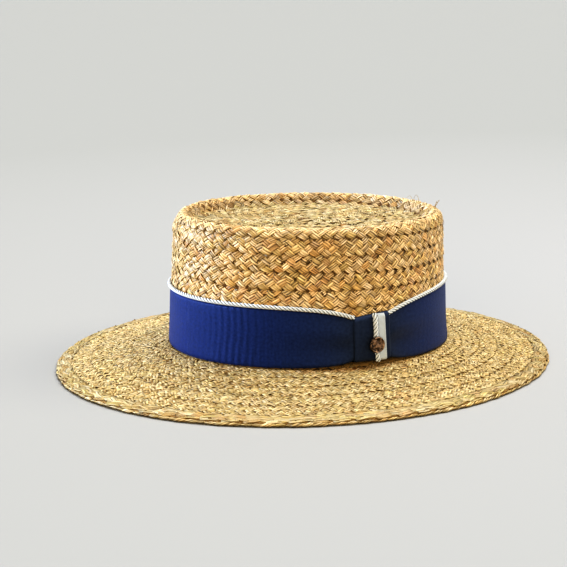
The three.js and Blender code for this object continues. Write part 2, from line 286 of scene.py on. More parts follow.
def brim_under():
    """The brim's lower face, from the edge inwards and up the inside of the upstand."""
    row_inside = EDGE_RADIUS - EDGE_ROW_WIDTH
    root = HEAD_HALF_WIDTH + 2
    upstand = side_radius(UPSTAND_HEIGHT) - STRAW
    outline = Outline(EDGE_RADIUS - 1, 0.6).line(EDGE_RADIUS - 5, 0.6)
    outline.line(row_inside, brim_top(row_inside) - STRAW)
    outline.line(root, brim_top(root) - STRAW)
    outline.curve((upstand, brim_top(root) - STRAW), (upstand, BAND_BOTTOM))
    outline.line(upstand, UPSTAND_HEIGHT)
    return Skin(outline)


def edge_bead(radius, height, size):
    """The rounded outer face of one layer of the brim's edge."""
    outline = Outline(radius - size, height + size)
    outline.curve((radius, height + size), (radius, height))
    outline.curve((radius, height - size), (radius - size, height - size))
    return Skin(outline, step=0.06)


# ------------------------ meshes from arrays

# What an attribute is called in Blender when each value has three or four numbers.
KINDS_OF_ATTRIBUTE = {3: ("FLOAT_VECTOR", "vector"), 4: ("FLOAT_COLOR", "color")}


def linked(thing):
    """Puts an object into the scene."""
    bpy.context.scene.collection.objects.link(thing)
    return thing


def mesh_object(name, points, quads, material, **attributes):
    """A smooth mesh object from points in millimetres and rows of four point numbers. Each
    attribute has a vector or a colour for every point, for the material to read."""
    mesh = bpy.data.meshes.new(name)
    points = np.asarray(points, np.float32).reshape(-1, 3) * MM
    quads = np.asarray(quads, np.int32).reshape(-1, 4)
    mesh.vertices.add(len(points))
    mesh.vertices.foreach_set("co", points.ravel())
    mesh.loops.add(quads.size)
    mesh.loops.foreach_set("vertex_index", quads.ravel())
    mesh.polygons.add(len(quads))
    mesh.polygons.foreach_set("loop_start", np.arange(0, quads.size, 4, dtype=np.int32))
    mesh.polygons.foreach_set("use_smooth", np.ones(len(quads), bool))
    mesh.update(calc_edges=True)
    mesh.validate()
    mesh.materials.append(material)
    for key, values in attributes.items():
        kind, field = KINDS_OF_ATTRIBUTE[values.shape[-1]]
        stored = mesh.attributes.new(key, kind, "POINT")
        stored.data.foreach_set(field, values.astype(np.float32).ravel())
    return linked(bpy.data.objects.new(name, mesh))


def grid_quads(row, next_row, column, next_column, across, turned=False):
    """Quads between neighbouring points of a grid whose rows are so many points across; turned
    ones have their corners the other way round."""
    corners = [row * across + column, row * across + next_column,
               next_row * across + next_column, next_row * across + column]
    if turned:
        corners = corners[:1] + corners[:0:-1]
    return np.stack(np.broadcast_arrays(*corners), axis=-1)


def tube_quads(stations, ring):
    """Quads of a closed tube: its side and its two ends. The ring has an even number of points."""
    k = np.arange(stations - 1)[:, None]
    i = np.arange(ring)[None, :]
    side = grid_quads(k, k + 1, i, (i + 1) % ring, ring)
    first = np.array([[j, ring - 1 - j, ring - 2 - j, j + 1] for j in range(ring // 2 - 1)])
    last = first[:, ::-1] + (stations - 1) * ring
    return np.concatenate([side.reshape(-1, 4), first, last])


def ring_quads(stations, ring):
    """Quads of a tube that closes on itself."""
    k = np.arange(stations)[:, None]
    i = np.arange(ring)[None, :]
    return grid_quads(k, (k + 1) % stations, i, (i + 1) % ring, ring)


def quads_of_tubes(points):
    """Quads of equal closed tubes, whose points are given tube by tube and station by station."""
    count, stations, ring = points.shape[:3]
    shift = np.arange(count)[:, None, None] * (stations * ring)
    return (tube_quads(stations, ring)[None] + shift).reshape(-1, 4)


def welded(piece):
    """Merges points that lie on each other and drops the faces that vanish."""
    body = bmesh.new()
    body.from_mesh(piece.data)
    bmesh.ops.remove_doubles(body, verts=body.verts, dist=1e-6)
    bmesh.ops.dissolve_degenerate(body, edges=body.edges, dist=1e-7)
    bmesh.ops.recalc_face_normals(body, faces=body.faces)
    body.to_mesh(piece.data)
    body.free()
    return piece


# ------------------------ plaited straw

class Plait:
    """How one kind of braid is plaited.

    period, pitch: length of its pattern and width of the braid; rows: strands side by side in it
    dome: how far a strand's middle rises; shingle: how far the braid's outer edge stands off
    fill: width of a strand as a share of its room; uneven, scatter, drift: how untidy it lies
    edge_shade: painted shade of a strand's sides and underside, which also sets that of its ends;
    seam: how dark the painted shadow along the inner edge is, under the next braid's edge;
    contrast: of the fibres; dark_below: height under which painted shade darkens the straw
    """

    def __init__(self, period, pitch, dome, shingle, rows=4, fill=0.93, uneven=0.16, scatter=0.12,
                 edge_shade=0.42, drift=0.04, seam=0.0, contrast=1.0, dark_below=0.0):
        self.period = period
        self.pitch = pitch
        self.dome = dome
        self.shingle = shingle
        self.rows = rows
        self.fill = fill
        self.uneven = uneven
        self.scatter = scatter
        self.edge_shade = edge_shade
        self.drift = drift
        self.seam = seam
        self.contrast = contrast
        self.dark_below = dark_below
        self.half_pitch = pitch / 2
        self.spacing = pitch / rows
        self.slant = math.atan2(self.spacing, period / 2)
        self.side = math.hypot(self.spacing, period / 2)
        self.width = self.side * math.sin(2 * self.slant)
        self.end_shade = 0.84 * (1 - edge_shade)


class FoldedEdge(Plait):
    """The turned strands along the brim's edge: one slanting row that wraps round it."""

    def __init__(self, period, pitch, slant_degrees):
        # Painted shade darkens the folded straw near the floor.
        super().__init__(
            period, pitch, dome=0.24, shingle=0, rows=1, fill=1.06, uneven=0.4, edge_shade=0.55,
            dark_below=2.0)
        self.slant = math.radians(slant_degrees)
        self.width = 1.18 * period * math.sin(self.slant)
        self.side = pitch / math.sin(self.slant) / 1.4


BRIM_ROUNDS = 5
EDGE_BAND = 9.5
CROWN_PLAIT = Plait(
    period=7.6, pitch=11.0, dome=0.38, shingle=0.24, fill=1.03, scatter=0.15, edge_shade=0.29,
    seam=0.42, contrast=1.1)
BRIM_PLAIT = Plait(
    period=5.3, pitch=12.6, dome=0.32, shingle=0.2, rows=6, fill=1.12, scatter=0.3,
    edge_shade=0.68, drift=0.22, seam=0.65)
EDGE_PLAIT = Plait(
    period=13, pitch=EDGE_BAND, dome=0.1, shingle=0.0, rows=5, fill=1.2, uneven=0.05,
    edge_shade=0.78, seam=0.6, contrast=0.55)

# Straw tones in linear light, with how common each is.
STRAW_TONES = np.array([
    (0.80, 0.64, 0.38),
    (0.86, 0.74, 0.52),
    (0.74, 0.60, 0.29),
    (0.72, 0.50, 0.23),
    (0.56, 0.31, 0.10),
])
TONE_SHARES = np.array([0.36, 0.22, 0.22, 0.15, 0.05])
OWN_TONE = 0.45              # of a cell; the rest is the tone of the strand that it is part of
STEPS_ROUND = 240            # in which a braid's middle line is followed round the hat
DRIFT_WAVES = (5, 12)        # fewest waves in a braid's drift, and one more than the most

# How dark and how light the fibres of a strand may be, and the lines pressed between them, whose
# darkness is painted shade in the grooves.
FIBRE_SHADES = (0.72, 1.54)
LINE_SHADES = (0.10, 0.80)
# Straw darkened by painted shade turns yellower, and lighter straw whiter: the power of the shade
# in red, green, blue.
SHADE_POWERS = (0.90, 1.0, 1.35)
HALF_LENGTH_SHARE = 0.78     # half of a strand's length as a share of its cell's side
WIDTH_RANGE = (0.86, 1.14)   # the narrowest and the widest strand
# Width of the painted shadow along a braid's inner edge.
SEAM_SHADOW_WIDTH = 1.2             # of the dark inner edge of a braid
DRAWN_IN = 0.5               # how far what passes the braid's edge is drawn back, mm per mm
PRESSED_DOWN = 0.16          # and how far it is pressed down
FLOOR_CLEARANCE = 0.02
UNDER_LAYER_DEPTH = 0.95     # of the layer under the strands, below their face

# What the straw's tones are multiplied by in places; the brim's root takes a tone of painted shade,
# and the crest a tone of painted highlight.
EDGE_TONE = np.array([0.80, 0.81, 0.84])
FOLD_TONE = np.array([0.95, 0.93, 0.90])
TIP_TONE = np.array([0.82, 0.905, 0.95])
ROOT_SHADE_TONE = np.array([0.74, 0.54, 0.42])
CREST_HIGHLIGHT_TONE = np.array([1.02, 0.86, 0.58])
FIBRE_TONE = (0.34, 0.25, 0.13)


def straw_tints(rng, count):
    """A tone for each of a number of strands."""
    chosen = rng.choice(len(STRAW_TONES), count, p=TONE_SHARES)
    brightness = rng.normal(1, 0.08, (count, 1))
    return STRAW_TONES[chosen] * brightness


def cells_along(skin, plait, along, angle, closed, rng):
    """The cells of one braid whose middle line runs through the given along and angle values."""
    speed = np.linalg.norm(skin.round_tangent(along, angle), axis=-1)
    steps = (speed[1:] + speed[:-1]) / 2 * np.diff(angle)
    run = np.concatenate([[0], np.cumsum(steps)])
    count = int(round(run[-1] / plait.period)) if closed else int(run[-1] / plait.period)
    pace = run[-1] / count if closed else plait.period
    spare = plait.rows + 2
    strands = [straw_tints(rng, count + spare) for _ in range(2)]
    parts = []
    for row in range(plait.rows):
        leans_out = row % 2
        offset = (row - (plait.rows - 1) / 2) * plait.spacing
        place = (np.arange(count) + 0.25 + 0.5 * leans_out) * pace
        waves = rng.integers(*DRIFT_WAVES) * TURN / run[-1]
        drift = np.sin(waves * place + rng.uniform(0, TURN))
        place = place + plait.drift * plait.period * drift
        strand = np.arange(count) + (row + 1) // 2 if leans_out else np.arange(count) - row // 2
        own = straw_tints(rng, count)
        shared = strands[leans_out][strand % (count + spare)]
        parts.append({
            "angle": np.interp(place, run, angle),
            "along": np.interp(place, run, along) + offset,
            "offset": np.full(count, offset),
            "lean": np.full(count, 1.0 if leans_out else -1.0),
            "tint": (1 - OWN_TONE) * shared + OWN_TONE * own,
        })
    return joined_cells(parts)


def joined_cells(groups):
    """Several groups of cells as one."""
    return {key: np.concatenate([group[key] for group in groups]) for key in groups[0]}


def chosen_cells(cells, mask):
    """Those of the cells for which the mask is true."""
    return {key: values[mask] for key, values in cells.items()}


def spiral_cells(skin, plait, start, stop, rng):
    """Cells of one long braid that winds round the hat from one place along the skin to another."""
    turns = (stop - start) / plait.pitch
    angle = np.linspace(0, TURN * turns, int(turns * STEPS_ROUND))
    along = start + plait.pitch * angle / TURN
    return cells_along(skin, plait, along, angle, False, rng)


def ring_cells(skin, plait, start, count, rng):
    """Cells of a number of closed rounds of braid, one beside the other."""
    angle = np.linspace(0, TURN, STEPS_ROUND + 1)
    groups = []
    for number in range(count):
        along = np.full(angle.shape, start + (number + 0.5) * plait.pitch)
        turned = angle + rng.uniform(0, TURN)
        groups.append(cells_along(skin, plait, along, turned, True, rng))
    return joined_cells(groups)


class Strand:
    """Points round one strand, from edge to edge over its top, then under it: where each is in
    half widths, how far it may wander, its lift in millimetres, how deep it may be pressed in."""

    def __init__(self, stations, across, wander, lift, groove):
        self.stations = stations
        self.across, self.wander, self.lift, self.groove = (
            np.array(values) for values in (across, wander, lift, groove))
        self.ring = len(across)
        self.on_top = self.lift > -0.2
        is_line = self.groove > 0.5
        self.darkest = np.where(is_line, LINE_SHADES[0], FIBRE_SHADES[0])
        self.lightest = np.where(is_line, LINE_SHADES[1], FIBRE_SHADES[1])


FINE_STRAND = Strand(
    stations=6,
    across=[-1, -0.66, -0.3, 0.02, 0.32, 0.66, 1, 0],
    wander=[0, 0.06, 0.13, 0.1, 0.13, 0.06, 0, 0],
    lift=[-0.36, 0, 0, 0.03, 0, 0, -0.36, -0.85],
    groove=[0, 0, 0.55, 0, 0.55, 0, 0, 0])
SMALL_STRAND = Strand(
    stations=4,
    across=[-1, -0.5, 0, 0.5, 1, 0],
    wander=[0, 0.14, 0.2, 0.14, 0, 0],
    lift=[-0.3, 0, 0, 0, -0.3, -0.7],
    groove=[0, 0.15, 0.52, 0.15, 0, 0])
PLAIN_STRAND = Strand(
    stations=4,
    across=[-1, 0, 1, 0],
    wander=[0, 0.2, 0, 0],
    lift=[-0.3, 0.05, -0.3, -0.8],
    groove=[0, 0, 0, 0])


def each(values):
    """One value for each strand, in the shape that meets its stations and its ring of points."""
    return np.asarray(values)[:, None, None]


def laid_strands(skin, plait, cells, rng, strand, sink):
    """One closed piece of straw for each cell: it rises over the crossing strand and dives under
    the next, with its fibres as ridges along it. Gives the points, where they are along and
    across the strand, whether they are over (1) or under (-1) the crossing one, how far they are
    from the braid's middle, and how deep each line is pressed in."""
    count = len(cells["angle"])

    def draw(spread):
        return each(rng.uniform(-spread, spread, count))

    half_length = plait.side * HALF_LENGTH_SHARE
    half_width = plait.width / 2 * plait.fill * each(rng.uniform(*WIDTH_RANGE, count))
    columns = strand.across + strand.wander * rng.uniform(-1, 1, (count, strand.ring))
    pressed = strand.groove * rng.uniform(0, 1, (count, strand.ring)) ** 1.3
    u = np.linspace(-1, 1, strand.stations)[None, :, None] * half_length
    bent = draw(0.035) * u ** 2
    v = half_width * columns[:, None, :] + bent + draw(plait.scatter) * plait.spacing
    u = u + draw(plait.scatter) * plait.spacing + 0 * v
    turn = each(cells["lean"]) * plait.slant + draw(plait.scatter * 0.9)
    round_by = u * np.cos(turn) - v * np.sin(turn)
    along_by = u * np.sin(turn) + v * np.cos(turn)

    crossing = np.cos(math.pi * u / plait.side)
    rise = plait.dome * crossing + (strand.lift - pressed)[:, None, :] - sink
    rise = rise + draw(0.16) * v + draw(0.05) * u + draw(plait.uneven)
    from_middle = each(cells["offset"]) + along_by
    rise = rise + plait.shingle * np.clip(from_middle / plait.half_pitch, -1, 1)
    past_edge = np.maximum(np.abs(from_middle) - plait.half_pitch, 0)
    along_by = along_by - np.sign(from_middle) * past_edge * DRAWN_IN
    rise = rise - past_edge * PRESSED_DOWN

    tangent = unit(skin.round_tangent(cells["along"], cells["angle"]))
    points = skin.point(each(cells["along"]) + along_by, each(cells["angle"]), rise)
    points = points + round_by[..., None] * tangent[:, None, None]
    points[..., 2] = np.maximum(points[..., 2], FLOOR_CLEARANCE)
    return points, (u, v), crossing, from_middle, pressed


def strand_colours(plait, cells, rng, strand, height, crossing, from_middle, pressed):
    """The tone of each point: its cell's, with painted shade at the ends, on the sides and in the
    lines, a painted shadow along the braid's inner edge and painted shade near the floor.
    """
    stripes = rng.uniform(strand.darkest, strand.lightest, pressed.shape)
    stripes = 1 + (stripes - 1) * plait.contrast
    # Painted shade: a strand's sides and underside take the edge shade, its ends darken where it
    # dives under the crossing strand, and the pressed lines darken as shade in the grooves.
    stripes = np.where(strand.on_top, stripes, plait.edge_shade)
    shade = 1 - plait.end_shade * ((1 - crossing) / 2) ** 1.5
    shade = shade * ((1 - pressed) * stripes)[:, None, :]
    # Painted shadow along the braid's inner edge, under the neighbouring braid's proud edge.
    seam_shadow_share = np.clip((SEAM_SHADOW_WIDTH - from_middle - plait.half_pitch) / SEAM_SHADOW_WIDTH, 0, 1)
    shade = shade * (1 - plait.seam * seam_shadow_share)
    # Painted shade near the floor, under the brim's edge.
    if plait.dark_below:
        shade = shade * np.clip(height / plait.dark_below, 0.1, 1) ** 1.5
    tint = each(cells["tint"]).reshape(-1, 1, 1, 3) * shade[..., None] ** SHADE_POWERS
    return np.concatenate([tint, np.ones(tint.shape[:-1] + (1,))], axis=-1)


def strand_pieces(name, skin, plait, cells, material, rng, strand=FINE_STRAND, sink=0.5):
    """One piece of the hat: the strands of all the cells, sunk some millimetres into the face."""
    points, (u, v), *lie = laid_strands(skin, plait, cells, rng, strand, sink)
    colour = strand_colours(plait, cells, rng, strand, points[..., 2], *lie)
    place = np.stack([u, v, each(rng.uniform(0, 90, len(points))) + 0 * v], axis=-1)
    return mesh_object(
        name, points, quads_of_tubes(points), material, straw_tint=colour, strand_place=place)


def shell_between(name, outer, inner, place, material, closed_ring):
    """The under layer of straw between the strands of two skins, painted dark as the shade in the
    gaps.
    """
    around, spacing = 180, 8
    rows = []
    for skin in (outer, inner):
        used = skin.radius > (-1 if closed_ring else 0)
        radius = (skin.radius - UNDER_LAYER_DEPTH * skin.out_radius)[used][::spacing]
        height = (skin.height - UNDER_LAYER_DEPTH * skin.out_height)[used][::spacing]
        rows.append(np.stack([radius, height], axis=-1))
    profile = np.concatenate(rows)
    if not closed_ring:
        top = (0, rows[0][0, 1])
        under = (0, rows[1][-1, 1])
        profile = np.concatenate([[top], profile, [under]])
    angle = np.linspace(0, TURN, around, endpoint=False)
    points = place(profile[:, None, 0], angle[None, :], profile[:, None, 1])
    count = len(profile)
    k = np.arange(count if closed_ring else count - 1)[:, None]
    i = np.arange(around)[None, :]
    quads = grid_quads(k, (k + 1) % count, i, (i + 1) % around, around, turned=True)
    return welded(mesh_object(name, points, quads, material))


# ------------------------ materials

# Numbers of the sockets of a node that mixes colours.
FIRST_COLOUR, SECOND_COLOUR, MIXED_COLOUR = 6, 7, 2


def new_material(name):
    """A material with its tree of nodes and its shader."""
    material = bpy.data.materials.new(name)
    material.use_nodes = True
    return material, material.node_tree, material.node_tree.nodes["Principled BSDF"]


def node(tree, kind, feeds=None, **settings):
    """A node with its settings; feeds says which output leads to which of its inputs."""
    made = tree.nodes.new("ShaderNode" + kind)
    for key, value in settings.items():
        if key in made.inputs:
            made.inputs[key].default_value = value
        else:
            setattr(made, key, value)
    for key, output in (feeds or {}).items():
        tree.links.new(output, made.inputs[key])
    return made


def attribute(tree, name, output="Vector"):
    """What a mesh has stored for its points under a name."""
    return node(tree, "Attribute", attribute_name=name).outputs[output]


def stretched(tree, vector, factors):
    """A vector times a constant one."""
    made = node(tree, "VectorMath", {0: vector}, operation="MULTIPLY")
    made.inputs[1].default_value = factors
    return made.outputs["Vector"]


def multiplied(tree, colour, other):
    """A colour times another one, which is an output or a constant."""
    made = node(
        tree, "Mix", {FIRST_COLOUR: colour}, data_type="RGBA", blend_type="MULTIPLY", Factor=1)
    if isinstance(other, tuple):
        made.inputs[SECOND_COLOUR].default_value = (*other, 1)
    else:
        tree.links.new(other, made.inputs[SECOND_COLOUR])
    return made.outputs[MIXED_COLOUR]


def graded(tree, value, first, last, start=0.0, end=1.0):
    """A colour that goes from the first to the last as a value goes from start to end."""
    ramp = node(tree, "ValToRGB", {"Fac": value})
    for stop, colour, position in zip(ramp.color_ramp.elements, (first, last), (start, end)):
        stop.color = (*colour, 1)
        stop.position = position
    return ramp.outputs["Color"]


def mapped(tree, value, **ends):
    """A number moved from one range to another."""
    return node(tree, "MapRange", {"Value": value}, **ends).outputs["Result"]


def ridge(tree, shader, height, strength, distance=0.0002):
    """Gives a shader fine ridges whose height is an output."""
    bump = node(tree, "Bump", {"Height": height}, Strength=strength, Distance=distance)
    tree.links.new(bump.outputs["Normal"], shader.inputs["Normal"])


def coat(tree, shader, colour, roughness, specular=None, **others):
    """Sets what a shader looks like; the colour is an output."""
    tree.links.new(colour, shader.inputs["Base Color"])
    shader.inputs["Roughness"].default_value = roughness
    if specular is not None:
        shader.inputs["Specular IOR Level"].default_value = specular
    for key, value in others.items():
        shader.inputs[key].default_value = value


def straw_material(name, warmth):
    """Straw: each strand's own tone, fibres along it as streaks and fine ridges."""
    material, tree, shader = new_material(name)
    place = stretched(tree, attribute(tree, "strand_place"), (0.12, 1.25, 1))
    fibres = node(tree, "TexNoise", {"Vector": place}, Scale=1.0, Detail=3.0, Roughness=0.6)
    streaks = mapped(tree, fibres.outputs["Fac"], **{
        "From Min": 0.3, "From Max": 0.7, "To Min": 0.56, "To Max": 1.26})
    tone = multiplied(tree, attribute(tree, "straw_tint", "Color"), streaks)
    ridge(tree, shader, fibres.outputs["Fac"], 0.55, 0.00025)
    coat(tree, shader, multiplied(tree, tone, warmth), roughness=0.44, specular=0.5)
    return material


def under_straw_material(name, dark, light):
    """Straw of the under layer, painted dark as the shade that shows in the small gaps between
    strands.
    """
    material, tree, shader = new_material(name)
    where = node(tree, "TexCoord").outputs["Object"]
    spots = node(tree, "TexNoise", {"Vector": where}, Scale=600.0, Detail=2.0)
    coat(tree, shader, graded(tree, spots.outputs["Fac"], dark, light), roughness=0.9)
    return material


def ribbon_material():
    """Navy grosgrain: fine ribs across the ribbon, a blue sheen, and painted shade near the wrap,
    where the navy turns duller and less blue.
    """
    material, tree, shader = new_material("navy_ribbon")
    place = attribute(tree, "ribbon_place")
    flat = stretched(tree, place, (1, 1, 0))
    ribbon_shade = node(tree, "SeparateXYZ", {"Vector": place}).outputs["Z"]
    ribs = node(
        tree, "TexWave", {"Vector": flat}, bands_direction="X", Scale=RIBS_SCALE, Distortion=0.5)
    slubs = node(tree, "TexNoise", {"Vector": flat}, Scale=0.55, Detail=3.0)
    navy = graded(
        tree, slubs.outputs["Fac"], (0.0078, 0.0165, 0.096), (0.0120, 0.0285, 0.176), 0.3, 0.7)
    # Painted shade: near the wrap the navy is painted duller and less blue.
    ribbon_shade_tone = graded(tree, ribbon_shade, (1, 1, 1), (1.95, 1.12, 0.30))
    ridge(tree, shader, ribs.outputs["Fac"], 0.5)
    coat(tree, shader, multiplied(tree, navy, ribbon_shade_tone), roughness=0.50, specular=0.5, **{
        "Specular Tint": (0.12, 0.30, 1.0, 1),
        "Sheen Weight": 0.06,
        "Sheen Roughness": 0.45,
        "Sheen Tint": (0.25, 0.45, 1.0, 1)})
    return material


def cord_material():
    """Off-white cotton: fine threads laid along each ply, with painted shade where the plies meet.
    """
    material, tree, shader = new_material("white_cord")
    place = attribute(tree, "ply_place")
    laid = stretched(tree, place, (0.7, 14, 0))
    threads = node(tree, "TexNoise", {"Vector": laid}, Scale=1.0, Detail=2.0).outputs["Fac"]
    shades = mapped(tree, threads, **{"To Min": 0.75, "To Max": 1.1})
    outwards = node(tree, "SeparateXYZ", {"Vector": place}).outputs["Z"]
    # Painted shade: dark where a ply faces the others, white where it faces out.
    white = graded(tree, outwards, (0.10, 0.13, 0.11), (0.77, 0.82, 0.91), 0.50, 0.80)
    ridge(tree, shader, threads, 0.4)
    coat(tree, shader, multiplied(tree, white, shades), roughness=0.8, specular=0.2)
    return material


def tape_material():
    """Off-white woven tape: close threads across it."""
    material, tree, shader = new_material("white_tape")
    place = attribute(tree, "ribbon_place")
    waves = node(
        tree, "TexWave", {"Vector": place}, bands_direction="Y", Scale=0.42, Distortion=0.8)
    threads = waves.outputs["Fac"]
    ridge(tree, shader, threads, 0.5)
    white = graded(tree, threads, (0.38, 0.43, 0.49), (0.65, 0.715, 0.82))
    coat(tree, shader, white, roughness=0.75, specular=0.2)
    return material


def pin_material():
    """Aged copper: bright worn copper and dark bronze, in patches at random."""
    material, tree, shader = new_material("aged_copper")
    where = node(tree, "TexCoord").outputs["Object"]
    patches = node(tree, "TexNoise", {"Vector": where}, Scale=520.0, Detail=3.0).outputs["Fac"]
    copper = graded(tree, patches, (0.030, 0.022, 0.017), (0.43, 0.28, 0.19), 0.40, 0.66)
    coat(tree, shader, copper, roughness=0.36, Metallic=0.85)
    return material


def floor_material():
    """Pale card, with a painted pool of light: a little brighter behind the hat."""
    material, tree, shader = new_material("pale_floor")
    where = node(tree, "TexCoord").outputs["Object"]
    away = node(tree, "VectorMath", {0: where}, operation="DISTANCE")
    away.inputs[1].default_value = FLOOR_LIGHT_POOL_MIDDLE
    share = mapped(tree, away.outputs["Value"], **{"From Min": 0.1, "From Max": 1.1})
    card = graded(tree, share, (0.512, 0.519, 0.560), (0.440, 0.452, 0.478))
    coat(tree, shader, card, roughness=0.7, specular=0.2)
    return material


# ------------------------ ribbon, cord and pin

def gather(degrees, reach):
    """How strongly the wrap gathers the band: 1 beside the wrap, fading to 0."""
    beyond = np.where(degrees < WRAP_MIDDLE, WRAP_FRONT - degrees, degrees - WRAP_BACK)
    return np.exp(-np.maximum(beyond, 0) / reach)


def band_top(degrees):
    """Height of the band's upper edge; degrees from the front, 0 to 360."""
    back_share = (1 - np.cos(np.radians(degrees))) / 2
    drop = GATHER_DROP * gather(degrees, GATHER_REACH_TOP)
    return BAND_TOP + BAND_BACK_RISE * back_share - drop


def band_bottom(degrees):
    """Height of the band's lower edge."""
    return BAND_BOTTOM + GATHER_RISE * gather(degrees, GATHER_REACH_BOTTOM)


def ribbon_piece(name, outside, inside, degrees, height, ribbon_shade, material, to_quads=tube_quads):
    """A closed piece of ribbon from the points of its two faces. Each point knows how far along
    and how far up the ribbon it is, and how much painted shade it takes there."""
    place = np.stack(
        np.broadcast_arrays(degrees * MM_PER_DEGREE, height, ribbon_shade), axis=-1)
    points, place = (
        np.concatenate([outer, inner[:, ::-1]], axis=1)
        for outer, inner in ((outside, inside), (place, place)))
    quads = to_quads(*points.shape[:2])
    return welded(mesh_object(name, points, quads, material, ribbon_place=place))


def shares(stations, across):
    """How far up and how far across a sheet each of its points is, from 0 to 1."""
    return np.linspace(0, 1, stations)[:, None], np.linspace(0, 1, across)[None, :]


def tucked(height, top, at_top, at_foot):
    """How far a piece on the wrap goes in where it turns over the band's two edges."""
    over_top = np.clip((height - top + TOP_TURN) / TOP_TURN, 0, 1) ** 2
    over_foot = np.clip((WRAP_BOTTOM + FOOT_TURN - height) / FOOT_TURN, 0, 1) ** 2
    return at_top * over_top + at_foot * over_foot


def band_piece(material):
    """The ribbon round the crown. Beside the wrap it is drawn into a few long soft folds."""
    around, across = 600, 24
    degrees = np.linspace(0, 360, around, endpoint=False)[:, None]
    share = np.linspace(0, 1, across)[None, :]
    height = band_bottom(degrees) + (band_top(degrees) - band_bottom(degrees)) * share
    pulled = gather(degrees, 16)
    free = 1 - gather(degrees, 2.2)
    folds = 1.35 * pulled * free * np.sin(TURN * (1.45 * share + 0.30))
    drape = 0.16 * np.sin(np.radians(degrees) * 7 + 2.5 * share) * (1 - pulled)
    rippled = 0.10 + 0.90 * hump(degrees, 25, 13)
    ripple = 0.15 * rippled * np.sin(np.radians(degrees) * 120 + 1.3 * np.sin(height / 8))
    edge = 0.35 * (np.abs(2 * share - 1) ** 14)
    flare = 1.5 * (1 - share) ** 3 * hump(degrees, 138, 34)
    stand_off = RIBBON_FACE + 0.8 * pulled + folds + drape + ripple + flare
    outside = on_side(stand_off - edge, degrees, height)
    inside = on_side(stand_off - RIBBON_SHOWN, degrees, height)
    # Painted shade on the band, strongest beside the wrap.
    ribbon_shade = gather(degrees, 30)
    return ribbon_piece(
        "hat_ribbon", outside, inside, degrees, height, ribbon_shade, material, ring_quads)


def wrap_piece(material):
    """The upright loop of ribbon: rolled side edges, tucked in over the band's two edges."""
    rise, share = shares(60, 36)
    degrees = WRAP_FRONT + (WRAP_BACK - WRAP_FRONT) * share + 0.5 * (1 - rise)
    top = WRAP_TOP - 2.4 * (1 - share) ** 1.6
    height = WRAP_BOTTOM + (top - WRAP_BOTTOM) * rise
    from_edge = np.minimum(share, 1 - share) * (WRAP_BACK - WRAP_FRONT)
    bulge = WRAP_BULGE * np.sin(math.pi * share) ** 0.7 * np.sin(math.pi * rise) ** 0.5
    roll = 0.30 * hump(from_edge, 0.9, 0.55) - 0.55 * hump(from_edge, 0, 0.25)
    inner = 2 * GAP + RIBBON + bulge - tucked(height, top, 1.9, 0.9)
    outside = on_side(inner + RIBBON + roll, degrees, height)
    inside = on_side(inner + 0.1, degrees, height)
    # The wrap takes the full painted shade.
    return ribbon_piece("ribbon_wrap", outside, inside, degrees, height, 1, material)


def flange_piece(material):
    """The woven tape beside the wrap's cord, with a thicker selvedge along its far edge."""
    rise, share = shares(60, 14)
    lean = 1.0 * (1 - rise)
    degrees = FLANGE_FRONT - 0.6 + lean + (FLANGE_BACK - FLANGE_FRONT) * share
    height = WRAP_BOTTOM + (WRAP_TOP - 0.4 - WRAP_BOTTOM) * rise + 0 * share
    selvedge = 0.28 * hump(share, 0.9, 0.08)
    rounded = 0.3 * np.abs(2 * share - 1) ** 10
    base = ON_WRAP - GAP / 2 - tucked(height, WRAP_TOP, 1.5, 0.9)
    outside = on_side(base + FLANGE + selvedge - rounded, degrees, height)
    inside = on_side(base, degrees, height)
    return ribbon_piece("wrap_tape", outside, inside, degrees, height, 0, material)


def twisted_cord(name, middle, outward, radius, material):
    """Three plies laid round each other along a line of points; outward faces off the hat."""
    steps = np.linalg.norm(np.diff(middle, axis=0), axis=-1)
    run = np.concatenate([[0], np.cumsum(steps)])
    tangent = unit(np.gradient(middle, run, axis=0))
    side = unit(np.cross(tangent, outward))
    up = np.cross(side, tangent)
    ply_radius = radius * 0.52
    helix_radius = radius - ply_radius * 0.9
    from_end = np.minimum(run, run[-1] - run)
    taper = np.clip(0.35 + from_end / 0.9, 0, 1)[:, None, None]
    ring = np.linspace(0, TURN, 10, endpoint=False)
    points, places = [], []
    for ply in range(PLIES):
        turn = TURN * (run / LAY_LENGTH + ply / PLIES)
        spoke = np.cos(turn)[:, None] * up + np.sin(turn)[:, None] * side
        line = middle + helix_radius * spoke
        along = unit(np.gradient(line, run, axis=0))
        across = unit(np.cross(along, spoke))
        outer = np.cross(across, along)
        circle = (np.cos(ring)[None, :, None] * outer[:, None]
                  + np.sin(ring)[None, :, None] * across[:, None])
        points.append(line[:, None] + ply_radius * taper * circle)
        # How far each point faces out of the cord; the material paints shade where it faces in.
        faces_out = (1 + np.cos(ring[None])) / 2
        place = np.broadcast_arrays(run[:, None] + 30 * ply, ring[None] / TURN, faces_out)
        places.append(np.stack(place, axis=-1))
    points, places = np.array(points), np.array(places)
    quads = quads_of_tubes(points)[:, ::-1]
    return mesh_object(name, points, quads, material, ply_place=places)


def band_cord_piece(material):
    """The cord along the band's upper edge, pressed into the straw, from behind the wrap round
    to its front side."""
    tuck = 0.8
    degrees = np.linspace(WRAP_BACK - tuck, WRAP_FRONT + 360 + tuck, 900)
    height = band_top(degrees % 360) + CORD_LIFT
    middle, outward = line_on_side(CORD_STAND_OFF, degrees, height)
    return twisted_cord("band_twisted_cord", middle, outward, CORD_RADIUS - 0.02, material)


